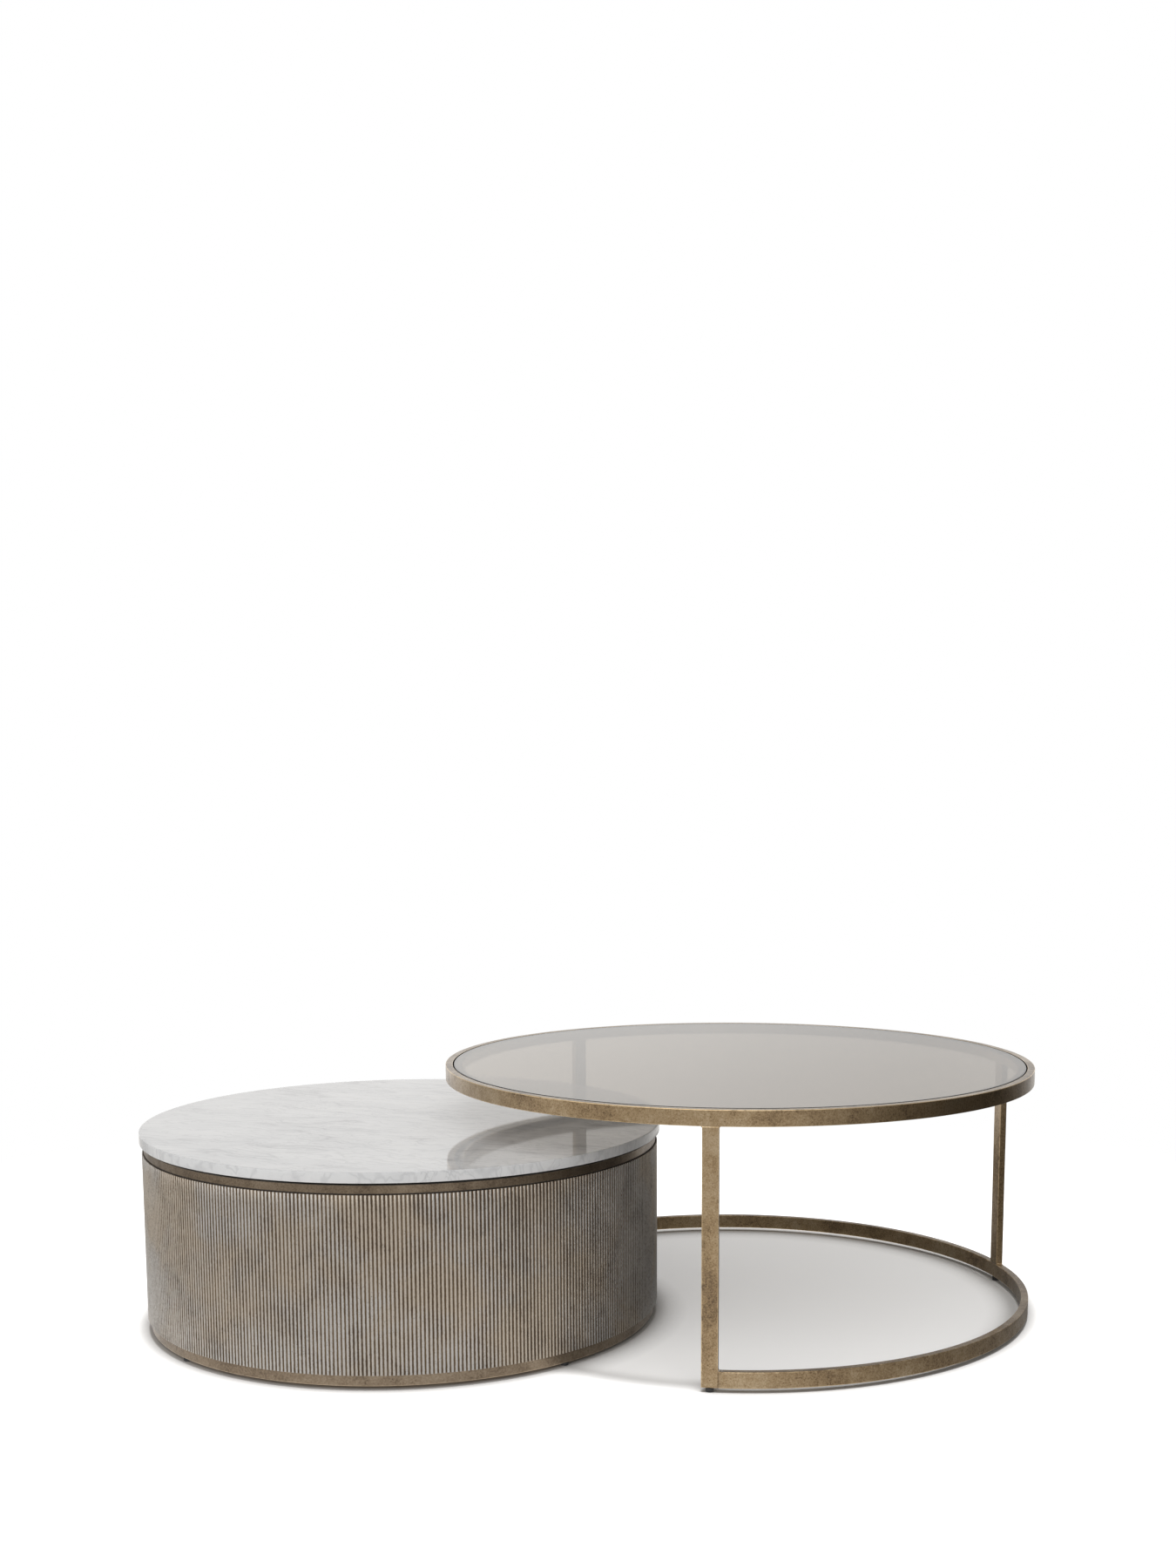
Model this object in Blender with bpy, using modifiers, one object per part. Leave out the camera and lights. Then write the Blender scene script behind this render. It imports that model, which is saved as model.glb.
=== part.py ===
"""Pair of round nesting tables.

The large table is a rolled flat-bar hoop with an inset glass disc, three
flat-bar legs and a C-shaped base arc.  The small table is a round drum with a
marble top.  The base arc is open on the drum's side, so the drum slides in
under the glass along X, between two of the legs.

Metres, +Z up.  The origin is on the floor, under the middle of the set.
"""

import math

import bmesh
import bpy
from mathutils import Matrix, Vector

# ---------------------------------------------------------------- dimensions
FIT_GAP = 0.0003          # air left between pieces that touch
SEGMENTS = 96             # facets round every large ring and disc
SMALL_SEGMENTS = 14       # facets round studs, pads and feet
ARRIS = 0.0008            # broken edge on bars and tops
MERGE = 0.00001

# Large table
FRAME_RADIUS = 0.500      # outside of hoop, legs and base arc
FRAME_TOP = 0.424
BAR_HEIGHT = 0.025        # flat bar, on edge in the hoop and the base
BAR_WIDTH = 0.012
FLOOR_GAP = 0.007         # height of the feet that show under the base
BASE_TOP = FLOOR_GAP + BAR_HEIGHT
HOOP_BOTTOM = FRAME_TOP - BAR_HEIGHT
FRAME_TURN = math.radians(12.2)    # direction of the leg facing the opening
LEG_STEP = math.radians(111.6)     # from that leg to each leg at the opening

GLASS_THICKNESS = 0.008
GLASS_GAP = 0.002         # dark line between glass and hoop
LEDGE_WIDTH = 0.016
BUMPER_HEIGHT = 0.001
BUMPER_RADIUS = 0.005
BUMPERS = 6

# Small table
NEST_OFFSET = Vector((-0.570, -0.040))   # drum centre from the hoop's centre
DRUM_TURN = math.radians(41.0)           # direction of the drum's first foot
MARBLE_RADIUS = 0.433
MARBLE_THICKNESS = 0.016
DRUM_TOP = 0.330
SHADOW_GAP = 0.0032       # marble stands this far off the drum on pads
PANEL_RADIUS = 0.429      # over the crests of the reeding
PANEL_THICKNESS = 0.0027
PANEL_TOP = 0.2956
PANEL_BOTTOM = 0.0226
CORE_THICKNESS = 0.012
BAND_HEIGHT = 0.0203      # smooth top band, its lower part behind the panel
PLINTH_RADIUS = 0.423
PLINTH_BOTTOM = 0.005
DECK_THICKNESS = 0.018
BOARD_THICKNESS = 0.012
PAD_RADIUS = 0.015
PAD_RING = 0.300
DRUM_FEET = 4

# Screw-in levelling feet
FOOT_RADIUS = 0.0064
STUD_RADIUS = 0.0030
STUD_CLEARANCE = 0.0003
STUD_LENGTH = 0.0135
BORE_DEPTH = 0.0148


# ----------------------------------------------------------------- materials
def material(name, colour, roughness, metallic=0.0, transmission=0.0):
    mat = bpy.data.materials.new(name)
    mat.use_nodes = True
    shader = mat.node_tree.nodes["Principled BSDF"]
    shader.inputs["Base Color"].default_value = (*colour, 1.0)
    shader.inputs["Roughness"].default_value = roughness
    shader.inputs["Metallic"].default_value = metallic
    shader.inputs["Transmission Weight"].default_value = transmission
    mat.diffuse_color = (*colour, 1.0)
    return mat


def clear_scene():
    for obj in list(bpy.data.objects):
        bpy.data.objects.remove(obj, do_unlink=True)


clear_scene()

parts = bpy.data.collections.new("nesting_tables")
cutters = bpy.data.collections.new("cutters")
for collection in (parts, cutters):
    bpy.context.scene.collection.children.link(collection)

BRASS = material("aged_brass", (0.30, 0.22, 0.13), 0.38, 1.0)
REEDED = material("aged_reeded_metal", (0.34, 0.30, 0.26), 0.42, 1.0)
GLASS = material("smoked_glass", (0.55, 0.52, 0.48), 0.02, 0.0, 0.9)
MARBLE = material("white_marble", (0.83, 0.83, 0.82), 0.12)
BOARD = material("board", (0.42, 0.31, 0.20), 0.70)
NYLON = material("black_nylon", (0.02, 0.02, 0.02), 0.55)
CLEAR_PAD = material("clear_pad", (0.70, 0.70, 0.68), 0.40)


# ------------------------------------------------------------------- helpers
def add_object(name, mesh, mat, parent=None, collection=parts):
    obj = bpy.data.objects.new(name, mesh)
    obj.data.materials.clear()
    if mat is not None:
        obj.data.materials.append(mat)
    obj.parent = parent
    collection.objects.link(obj)
    return obj


def empty(name, location, turn=0.0, parent=None):
    obj = bpy.data.objects.new(name, None)
    obj.location = location
    obj.rotation_euler = (0.0, 0.0, turn)
    obj.parent = parent
    parts.objects.link(obj)
    return obj


def polar(radius, angle, z=0.0):
    return Vector((radius * math.cos(angle), radius * math.sin(angle), z))


def turned(name, profile, mat, parent, segments=SEGMENTS, closed=False):
    """Solid of revolution about Z; the profile runs down its outer side."""
    mesh = bpy.data.meshes.new(name)
    count = len(profile)
    edges = [(i, i + 1) for i in range(count - 1)]
    if closed:
        edges.append((count - 1, 0))
    mesh.from_pydata([(r, 0.0, z) for r, z in profile], edges, [])
    obj = add_object(name, mesh, mat, parent)
    screw = obj.modifiers.new("turn", "SCREW")
    screw.axis = "Z"
    screw.angle = 2.0 * math.pi
    screw.steps = segments
    screw.render_steps = segments
    screw.use_merge_vertices = True
    screw.merge_threshold = MERGE
    return obj


def outer_side(radius, bottom, top, arris):
    """Outer side of a turned piece, from top to bottom, edges broken by arris."""
    if not arris:
        return [(radius, top), (radius, bottom)]
    return [
        (radius - arris, top), (radius, top - arris),
        (radius, bottom + arris), (radius - arris, bottom),
    ]


def ring(name, outer, inner, bottom, top, mat, parent, arris=0.0):
    """Rectangular bar or strip, rolled to a closed ring."""
    profile = outer_side(outer, bottom, top, arris) + [(inner, bottom), (inner, top)]
    return turned(name, profile, mat, parent, closed=True)


def disc(name, radius, bottom, top, mat, parent, arris=0.0, segments=SEGMENTS):
    profile = [(0.0, top), *outer_side(radius, bottom, top, arris), (0.0, bottom)]
    return turned(name, profile, mat, parent, segments)


def box_mesh(name, size):
    """Box centred on its own origin."""
    mesh = bpy.data.meshes.new(name)
    bm = bmesh.new()
    bmesh.ops.create_cube(bm, size=1.0, matrix=Matrix.Diagonal((*size, 1.0)))
    bm.to_mesh(mesh)
    bm.free()
    return mesh


def break_edges(obj, width=ARRIS):
    bevel = obj.modifiers.new("arris", "BEVEL")
    bevel.width = width
    bevel.segments = 1
    bevel.limit_method = "ANGLE"
    bevel.angle_limit = math.radians(60.0)


def drill(obj, location, radius, depth, parent):
    """Round blind hole, cut upwards from just below location."""
    lead = 0.002
    mesh = bpy.data.meshes.new(obj.name + "_bore")
    bm = bmesh.new()
    bmesh.ops.create_cone(
        bm, cap_ends=True, segments=SMALL_SEGMENTS,
        radius1=radius, radius2=radius, depth=depth + lead,
        matrix=Matrix.Translation((0.0, 0.0, (depth - lead) / 2.0)),
    )
    bm.to_mesh(mesh)
    bm.free()
    cutter = add_object(obj.name + "_bore", mesh, None, parent, cutters)
    cutter.location = location
    cutter.hide_render = True
    cutter.display_type = "WIRE"
    cut = obj.modifiers.new("bore", "BOOLEAN")
    cut.operation = "DIFFERENCE"
    cut.object = cutter
    cut.solver = "EXACT"


def arc_bar(name, outer, inner, start, sweep, bottom, top, mat, parent):
    """Flat bar rolled to an open arc, its two ends cut square."""
    steps = max(2, round(SEGMENTS * sweep / (2.0 * math.pi)))
    angles = [start + sweep * i / steps for i in range(steps + 1)]
    outline = [polar(outer, a) for a in angles]
    outline += [polar(inner, a) for a in reversed(angles)]

    curve = bpy.data.curves.new(name + "_outline", "CURVE")
    curve.dimensions = "2D"
    curve.fill_mode = "BOTH"
    curve.extrude = (top - bottom) / 2.0
    spline = curve.splines.new("POLY")
    spline.points.add(len(outline) - 1)
    for point, co in zip(spline.points, outline):
        point.co = (co.x, co.y, 0.0, 1.0)
    spline.use_cyclic_u = True

    guide = bpy.data.objects.new(name + "_outline", curve)
    parts.objects.link(guide)
    bpy.context.view_layer.update()
    evaluated = guide.evaluated_get(bpy.context.evaluated_depsgraph_get())
    mesh = bpy.data.meshes.new_from_object(evaluated)
    mesh.name = name
    bpy.data.objects.remove(guide, do_unlink=True)

    bm = bmesh.new()
    bm.from_mesh(mesh)
    bmesh.ops.remove_doubles(bm, verts=bm.verts, dist=MERGE)
    bmesh.ops.dissolve_limit(
        bm, angle_limit=math.radians(0.5), verts=bm.verts, edges=bm.edges)
    bmesh.ops.recalc_face_normals(bm, faces=bm.faces)
    bm.to_mesh(mesh)
    bm.free()
    obj = add_object(name, mesh, mat, parent)
    obj.location.z = (bottom + top) / 2.0
    return obj


def glide(name, parent, location, foot_height):
    """Round black foot on a stud; its origin is on the stud's axis, at the floor."""
    shoulder = foot_height - FIT_GAP
    stud_top = foot_height + STUD_LENGTH
    profile = [
        (0.0, stud_top), (STUD_RADIUS, stud_top), (STUD_RADIUS, shoulder),
        (FOOT_RADIUS, shoulder), (FOOT_RADIUS, ARRIS),
        (FOOT_RADIUS - ARRIS, 0.0), (0.0, 0.0),
    ]
    obj = turned(name, profile, NYLON, parent, SMALL_SEGMENTS)
    obj.location = location
    return obj


# --------------------------------------------------------------- large table
def build_large_table(frame):
    bar_inner = FRAME_RADIUS - BAR_WIDTH
    bar_middle = FRAME_RADIUS - BAR_WIDTH / 2.0
    glass_bottom = FRAME_TOP - GLASS_THICKNESS
    ledge_top = glass_bottom - BUMPER_HEIGHT
    ledge_outer = bar_inner - FIT_GAP
    ledge_inner = ledge_outer - LEDGE_WIDTH

    ring("top_hoop", FRAME_RADIUS, bar_inner, HOOP_BOTTOM, FRAME_TOP,
         BRASS, frame, ARRIS)
    ring("glass_ledge", ledge_outer, ledge_inner, HOOP_BOTTOM, ledge_top, BRASS, frame)
    disc("glass_top", bar_inner - GLASS_GAP, glass_bottom, FRAME_TOP,
         GLASS, frame, ARRIS)

    for i in range(BUMPERS):
        pad = disc(f"glass_bumper_{i + 1}", BUMPER_RADIUS, FIT_GAP,
                   BUMPER_HEIGHT - FIT_GAP, CLEAR_PAD, frame,
                   segments=SMALL_SEGMENTS)
        angle = math.pi * (2 * i + 1) / BUMPERS
        pad.location = polar(ledge_inner + LEDGE_WIDTH / 2.0, angle, ledge_top)

    # The leg facing the opening stands on the base arc; the other two run down
    # past its ends to the underside.
    legs = (
        ("leg_rear_right", 0.0, BASE_TOP + FIT_GAP),
        ("leg_rear_left", LEG_STEP, FLOOR_GAP),
        ("leg_front", -LEG_STEP, FLOOR_GAP),
    )
    leg_top = HOOP_BOTTOM - FIT_GAP
    for name, angle, foot in legs:
        mesh = box_mesh(name, (BAR_WIDTH, BAR_HEIGHT, leg_top - foot))
        leg = add_object(name, mesh, BRASS, frame)
        leg.location = polar(bar_middle, angle, (leg_top + foot) / 2.0)
        leg.rotation_euler = (0.0, 0.0, angle)
        break_edges(leg)

    end_angle = LEG_STEP - math.asin((BAR_HEIGHT / 2.0 + FIT_GAP) / bar_inner)
    base = arc_bar("base_arc", FRAME_RADIUS, bar_inner, -end_angle,
                   2.0 * end_angle, FLOOR_GAP, BASE_TOP, BRASS, frame)
    break_edges(base)

    drilled = {"leg_rear_right": base}
    for name, angle, _ in legs:
        place = polar(bar_middle, angle)
        holder = drilled.get(name, bpy.data.objects[name])
        drill(holder, place + Vector((0.0, 0.0, FLOOR_GAP)),
              STUD_RADIUS + STUD_CLEARANCE, BORE_DEPTH, frame)
        glide(name.replace("leg", "glide"), frame, place, FLOOR_GAP)


# --------------------------------------------------------------- small table
def build_drum(drum):
    carcass = PANEL_RADIUS - PANEL_THICKNESS - FIT_GAP
    carcass_inner = carcass - CORE_THICKNESS
    band_top = DRUM_TOP - MARBLE_THICKNESS - SHADOW_GAP
    band_bottom = band_top - BAND_HEIGHT
    core_bottom = PANEL_BOTTOM + FIT_GAP
    plinth_inner = PLINTH_RADIUS - BAR_WIDTH
    foot_ring = PLINTH_RADIUS - BAR_WIDTH / 2.0

    disc("marble_top", MARBLE_RADIUS, DRUM_TOP - MARBLE_THICKNESS, DRUM_TOP,
         MARBLE, drum, ARRIS)
    ring("drum_top_band", carcass, carcass_inner, band_bottom, band_top,
         BRASS, drum, ARRIS)
    ring("drum_core", carcass, carcass_inner, core_bottom, band_bottom - FIT_GAP,
         BOARD, drum)
    ring("reeded_panel", PANEL_RADIUS, PANEL_RADIUS - PANEL_THICKNESS,
         PANEL_BOTTOM, PANEL_TOP, REEDED, drum, ARRIS)
    ring("drum_plinth", PLINTH_RADIUS, plinth_inner, PLINTH_BOTTOM,
         PANEL_BOTTOM - FIT_GAP, BRASS, drum, ARRIS)
    disc("drum_deck", carcass_inner - FIT_GAP, band_top - DECK_THICKNESS, band_top,
         BOARD, drum)
    disc("drum_base_board", carcass_inner - FIT_GAP, core_bottom,
         core_bottom + BOARD_THICKNESS, BOARD, drum)

    for i in range(DRUM_FEET):
        angle = 2.0 * math.pi * i / DRUM_FEET
        pad = disc(f"marble_pad_{i + 1}", PAD_RADIUS, FIT_GAP, SHADOW_GAP - FIT_GAP,
                   CLEAR_PAD, drum, segments=SMALL_SEGMENTS)
        pad.location = polar(PAD_RING, angle, band_top)

        place = polar(foot_ring, angle)
        drill(bpy.data.objects["drum_plinth"],
              place + Vector((0.0, 0.0, PLINTH_BOTTOM)),
              STUD_RADIUS + STUD_CLEARANCE, BORE_DEPTH, drum)
        glide(f"drum_glide_{i + 1}", drum, place, PLINTH_BOTTOM)


# ------------------------------------------------------------------- assembly
def shade(obj):
    """Smooth round faces, crisp edges."""
    obj.data.shade_smooth()
    obj.data.set_sharp_from_angle(angle=math.radians(30.0))


left = NEST_OFFSET.x - MARBLE_RADIUS
middle_x = (left + FRAME_RADIUS) / 2.0
large_table = empty("large_table", (-middle_x, 0.0, 0.0), FRAME_TURN)
small_table = empty(
    "small_table", (NEST_OFFSET.x - middle_x, NEST_OFFSET.y, 0.0), DRUM_TURN)

build_large_table(large_table)
build_drum(small_table)
for part in parts.objects:
    if part.type == "MESH":
        shade(part)
bpy.context.view_layer.update()
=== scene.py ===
"""Looks for the pair of round nesting tables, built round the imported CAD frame.

The large table has a flat-bar hoop with an inset smoked glass disc, three legs
and a C-shaped base arc.  The drum has a marble top and a reeded metal panel.
Everything is in metres, in the CAD's own frame.
"""

import math

import bmesh
import bpy
import numpy as np
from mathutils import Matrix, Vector


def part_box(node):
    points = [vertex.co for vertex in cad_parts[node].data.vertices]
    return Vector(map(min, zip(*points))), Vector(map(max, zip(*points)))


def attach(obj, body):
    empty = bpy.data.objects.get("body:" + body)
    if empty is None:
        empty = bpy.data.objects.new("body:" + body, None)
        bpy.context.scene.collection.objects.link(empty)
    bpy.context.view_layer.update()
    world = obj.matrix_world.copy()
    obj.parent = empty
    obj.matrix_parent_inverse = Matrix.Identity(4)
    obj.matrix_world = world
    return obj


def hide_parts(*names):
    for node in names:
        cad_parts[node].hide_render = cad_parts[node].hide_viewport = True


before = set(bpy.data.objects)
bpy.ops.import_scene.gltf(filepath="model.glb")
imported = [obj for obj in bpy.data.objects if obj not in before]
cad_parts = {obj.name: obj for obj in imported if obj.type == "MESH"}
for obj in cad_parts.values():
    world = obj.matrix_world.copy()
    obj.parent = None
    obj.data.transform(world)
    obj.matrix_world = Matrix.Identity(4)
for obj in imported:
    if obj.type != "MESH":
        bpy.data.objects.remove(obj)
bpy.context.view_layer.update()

# ---------------------------------------------------------------- dimensions
TAU = 2.0 * math.pi
STATIONS = 288            # steps round each large ring
ARRIS = 0.0008            # rounded edge of every bar
ARRIS_STEPS = 3           # facets round a bar's arris
WEAR_REACH = 0.0011       # how far rubbed metal reaches from an edge
OVERLAP = 0.0001          # how far a weld runs into the bars that it joins

FRAME_RADIUS = 0.500
BAR_WIDTH = 0.012
LEDGE_WIDTH = 0.016
LEG_WIDTH = 0.025
FRAME_TURN = math.radians(12.2)
LEG_STEP = math.radians(111.6)
GLASS_RADIUS = 0.486
GLASS_ARRIS = 0.0013
WELD = 0.0032             # radius of the ground fillet in each joint's corner
FIT_GAP = 0.0003          # air between pieces that touch

MARBLE_RADIUS = 0.433
MARBLE_ARRIS = 0.0009
PANEL_RADIUS = 0.429      # over the crests of the reeding
PANEL_THICKNESS = 0.0027
BAND_RADIUS = 0.426
BAND_WIDTH = 0.012
PLINTH_RADIUS = 0.423
RIBS = 436
RIB_DEPTH = 0.0013
RIB_STEPS = 10            # facets across each rib
RIB_PHASE = 0.73          # where the first crest is, in rib pitches from +X

FOOT_RADIUS = 0.0064
FOOT_ARRIS = 0.0006
STUD_RADIUS = 0.0029
STUD_LENGTH = 0.0135
STUD_INSET = 0.0002       # the stud starts inside its foot and ends below its box
THREAD_DEPTH = 0.0005
THREAD_PITCH = 0.001
BORE_RADIUS = 0.0033
BORE_DEPTH = 0.0148
SMALL_STATIONS = 24       # steps round a stud or its bore

# Painted shade marks: 0 is plain metal, 1 is black. They paint the shade in gaps, creases
# and hidden sides, and dim the base arc's top face.
LEDGE_SHADE = 0.0025       # how far painted shade reaches along the ledge from the hoop
INNER_SHADE = 0.006        # how far painted shade reaches down the hoop's inner side, beside the glass
CREASE_SHADE = 0.0026      # painted shade line where the smooth band meets the reeding
UNDERCUT_SHADE = 0.0019    # painted shadow line on the band, just under the marble
SHADE_FADE = 0.0011
BASE_TOP_SHADE = 0.35       # painted shade on the base arc's top face, dimming its reflection


def node_middle(name):
    low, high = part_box(name)
    return Vector(((low.x + high.x) / 2.0, (low.y + high.y) / 2.0))


def heights(name):
    low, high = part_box(name)
    return low.z, high.z


LARGE = node_middle("top_hoop")
DRUM = node_middle("marble_top")
HOOP_BOTTOM, FRAME_TOP = heights("top_hoop")
BASE_BOTTOM, BASE_TOP = heights("base_arc")
LEG_ANGLES = {
    "front": FRAME_TURN - LEG_STEP,
    "rear_right": FRAME_TURN,
    "rear_left": FRAME_TURN + LEG_STEP,
}
BAR_MIDDLE = FRAME_RADIUS - BAR_WIDTH / 2.0


# --------------------------------------------------------------- node helpers
def put(tree, kind, inputs=None, **settings):
    """Adds a node; inputs maps a socket's name or number to a value or a link."""
    made = tree.nodes.new(kind)
    for key, value in settings.items():
        setattr(made, key, value)
    for key, value in (inputs or {}).items():
        socket = made.inputs[key]
        if isinstance(value, bpy.types.NodeSocket):
            tree.links.new(value, socket)
        elif value is not None:
            if isinstance(value, tuple) and socket.type == "RGBA" and len(value) == 3:
                value = (*value, 1.0)
            socket.default_value = value
    return made


def calc(tree, operation, a, b=0.0):
    return put(tree, "ShaderNodeMath", {0: a, 1: b}, operation=operation).outputs[0]


def weighted(tree, parts):
    """Sum of (value, weight) pairs."""
    total = None
    for value, weight in parts:
        part = calc(tree, "MULTIPLY", value, weight)
        total = part if total is None else calc(tree, "ADD", total, part)
    return total


def remap(tree, value, low, high, to_low=0.0, to_high=1.0, smooth=False):
    style = "SMOOTHSTEP" if smooth else "LINEAR"
    return put(tree, "ShaderNodeMapRange",
               {"Value": value, "From Min": low, "From Max": high,
                "To Min": to_low, "To Max": to_high},
               interpolation_type=style).outputs[0]


def mix_value(tree, factor, a, b):
    return put(tree, "ShaderNodeMix", {0: factor, 2: a, 3: b},
               data_type="FLOAT").outputs[0]


def blend(tree, factor, a, b):
    return put(tree, "ShaderNodeMix", {0: factor, 6: a, 7: b},
               data_type="RGBA").outputs[2]


def noise(tree, coords, scale, detail=4.0, rough=0.55, warp=0.0):
    return put(tree, "ShaderNodeTexNoise",
               {"Vector": coords, "Scale": scale, "Detail": detail,
                "Roughness": rough, "Distortion": warp}).outputs[0]


def stretched(tree, coords, scale, turn=0.0):
    return put(tree, "ShaderNodeMapping",
               {"Vector": coords, "Rotation": (0.0, 0.0, turn),
                "Scale": scale}).outputs[0]


def ramp(tree, factor, stops):
    made = put(tree, "ShaderNodeValToRGB", {0: factor})
    band = made.color_ramp
    while len(band.elements) < len(stops):
        band.elements.new(0.5)
    for element, (place, colour) in zip(band.elements, stops):
        element.position = place
        element.color = (*colour, 1.0)
    return made.outputs[0]


def attribute(tree, name):
    return put(tree, "ShaderNodeAttribute", attribute_name=name).outputs["Fac"]


def bump(tree, layers):
    """Bump from (height, strength, distance) layers, coarse to fine."""
    normal = None
    for height, strength, distance in layers:
        normal = put(tree, "ShaderNodeBump",
                     {"Height": height, "Strength": strength,
                      "Distance": distance, "Normal": normal}).outputs[0]
    return normal


def new_material(name):
    mat = bpy.data.materials.new(name)
    mat.use_nodes = True
    tree = mat.node_tree
    tree.nodes.clear()
    coords = put(tree, "ShaderNodeTexCoord").outputs["Object"]
    return mat, tree, coords


def finish_material(tree, surface):
    put(tree, "ShaderNodeOutputMaterial", {"Surface": surface})


# ------------------------------------------------------------------ materials
def brass_material(name, dark, middle, light, worn, coat):
    """Aged brass: cloudy patina, fine speckle, and rubbed bright along the edges.

    A piece's edge mark says where it is rubbed, and its painted_shade mark where shade is
    painted black."""
    mat, tree, coords = new_material(name)
    clouds = noise(tree, coords, 13.0, 3.0, 0.55, 0.4)
    blots = noise(tree, coords, 75.0, 6.0, 0.70, 0.6)
    grain = noise(tree, coords, 380.0, 4.0, 0.72)
    specks = noise(tree, coords, 950.0, 2.0, 0.60)
    tone = weighted(tree, [(clouds, 0.46), (blots, 0.34), (grain, 0.52), (specks, 0.26)])
    tone = remap(tree, tone, 0.62, 0.98)
    colour = ramp(tree, tone, [(0.0, dark), (0.46, middle), (1.0, light)])
    pits = remap(tree, grain, 0.38, 0.29, 0.0, 0.7)
    colour = blend(tree, pits, colour, tuple(0.45 * c for c in dark))

    rub = calc(tree, "ADD", attribute(tree, "edge"),
               remap(tree, blots, 0.35, 0.65, -0.35, 0.20))
    rub = remap(tree, rub, 0.45, 0.95, 0.0, 0.85, smooth=True)
    colour = blend(tree, rub, colour, worn)
    # Painted shade: black, not metallic and rough where the painted_shade mark is set.
    painted_shade = calc(tree, "MULTIPLY", attribute(tree, "painted_shade"), 0.96)
    colour = blend(tree, painted_shade, colour, (0.010, 0.007, 0.005))
    roughness = remap(tree, tone, 0.0, 1.0, 0.50, 0.30)
    roughness = calc(tree, "SUBTRACT", roughness, calc(tree, "MULTIPLY", rub, 0.10))
    roughness = calc(tree, "ADD", roughness, calc(tree, "MULTIPLY", painted_shade, 0.50))
    normal = bump(tree, [(blots, 0.22, 0.0005), (grain, 0.25, 0.0003)])
    shader = put(tree, "ShaderNodeBsdfPrincipled",
                 {"Base Color": colour, "Roughness": roughness,
                  "Metallic": calc(tree, "SUBTRACT", 1.0, painted_shade),
                  "Normal": normal, "Coat Weight": coat, "Coat Roughness": 0.20})
    finish_material(tree, shader.outputs[0])
    return mat


def reeded_material():
    """Ribbed sheet: pale rubbed crests, brown grooves with dark specks."""
    mat, tree, coords = new_material("reeded_patina")
    crest = attribute(tree, "crest")
    clouds = noise(tree, coords, 6.0, 3.0, 0.55, 0.5)
    patches = noise(tree, stretched(tree, coords, (1.0, 1.0, 0.6)), 22.0, 6.0, 0.66, 0.6)
    grain = noise(tree, stretched(tree, coords, (1.0, 1.0, 0.55)), 420.0, 4.0, 0.70)
    specks = noise(tree, coords, 620.0, 3.0, 0.65)

    pale = blend(tree, remap(tree, clouds, 0.38, 0.62, smooth=True),
                 (0.64, 0.57, 0.485), (0.65, 0.63, 0.605))
    groove = blend(tree, remap(tree, patches, 0.35, 0.65, smooth=True),
                   (0.120, 0.082, 0.052), (0.215, 0.157, 0.102))
    shown = calc(tree, "ADD", crest, remap(tree, grain, 0.30, 0.70, -0.22, 0.22))
    shown = calc(tree, "ADD", shown, remap(tree, patches, 0.30, 0.70, -0.12, 0.12))
    rub = remap(tree, shown, 0.25, 0.80, smooth=True)
    colour = blend(tree, rub, groove, pale)
    dark_specks = remap(tree, specks, 0.40, 0.30, 0.0, 0.75)
    colour = blend(tree, dark_specks, colour, (0.055, 0.042, 0.034))
    stain = remap(tree, patches, 0.46, 0.26, 0.0, 0.22, smooth=True)
    colour = blend(tree, stain, colour, (0.16, 0.145, 0.135))

    roughness = remap(tree, rub, 0.0, 1.0, 0.58, 0.40)
    normal = bump(tree, [(patches, 0.15, 0.0006), (grain, 0.30, 0.0003)])
    shader = put(tree, "ShaderNodeBsdfPrincipled",
                 {"Base Color": colour, "Metallic": 0.92, "Roughness": roughness,
                  "Normal": normal})
    finish_material(tree, shader.outputs[0])
    return mat


def glass_material():
    """Smoked glass; lamps shine through it dimmed, without caustics."""
    mat, tree, coords = new_material("smoked_glass_body")
    smears = noise(tree, coords, 6.0, 4.0, 0.6, 1.0)
    slant = remap(tree, put(tree, "ShaderNodeLayerWeight", {0: 0.5}).outputs["Facing"],
                  0.45, 0.85, smooth=True)
    clear = blend(tree, smears, (0.40, 0.372, 0.335), (0.43, 0.400, 0.360))
    deep = blend(tree, smears, (0.130, 0.107, 0.083), (0.148, 0.122, 0.095))
    tint = blend(tree, slant, clear, deep)
    # Painted shade: the glass's rounded rim is tinted near black, for the dark line in the
    # gap by the hoop.
    rim = attribute(tree, "rim")
    tint = blend(tree, rim, tint, (0.0015, 0.0015, 0.0015))
    roughness = remap(tree, smears, 0.3, 0.7, 0.010, 0.022)
    shader = put(tree, "ShaderNodeBsdfPrincipled",
                 {"Base Color": tint, "Roughness": roughness, "IOR": 1.50,
                  "Transmission Weight": 1.0})
    through = put(tree, "ShaderNodeBsdfTransparent", {"Color": (0.52, 0.52, 0.52)})
    is_shadow = put(tree, "ShaderNodeLightPath").outputs["Is Shadow Ray"]
    both = put(tree, "ShaderNodeMixShader",
               {0: is_shadow, 1: shader.outputs[0], 2: through.outputs[0]})
    finish_material(tree, both.outputs[0])
    return mat


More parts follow.
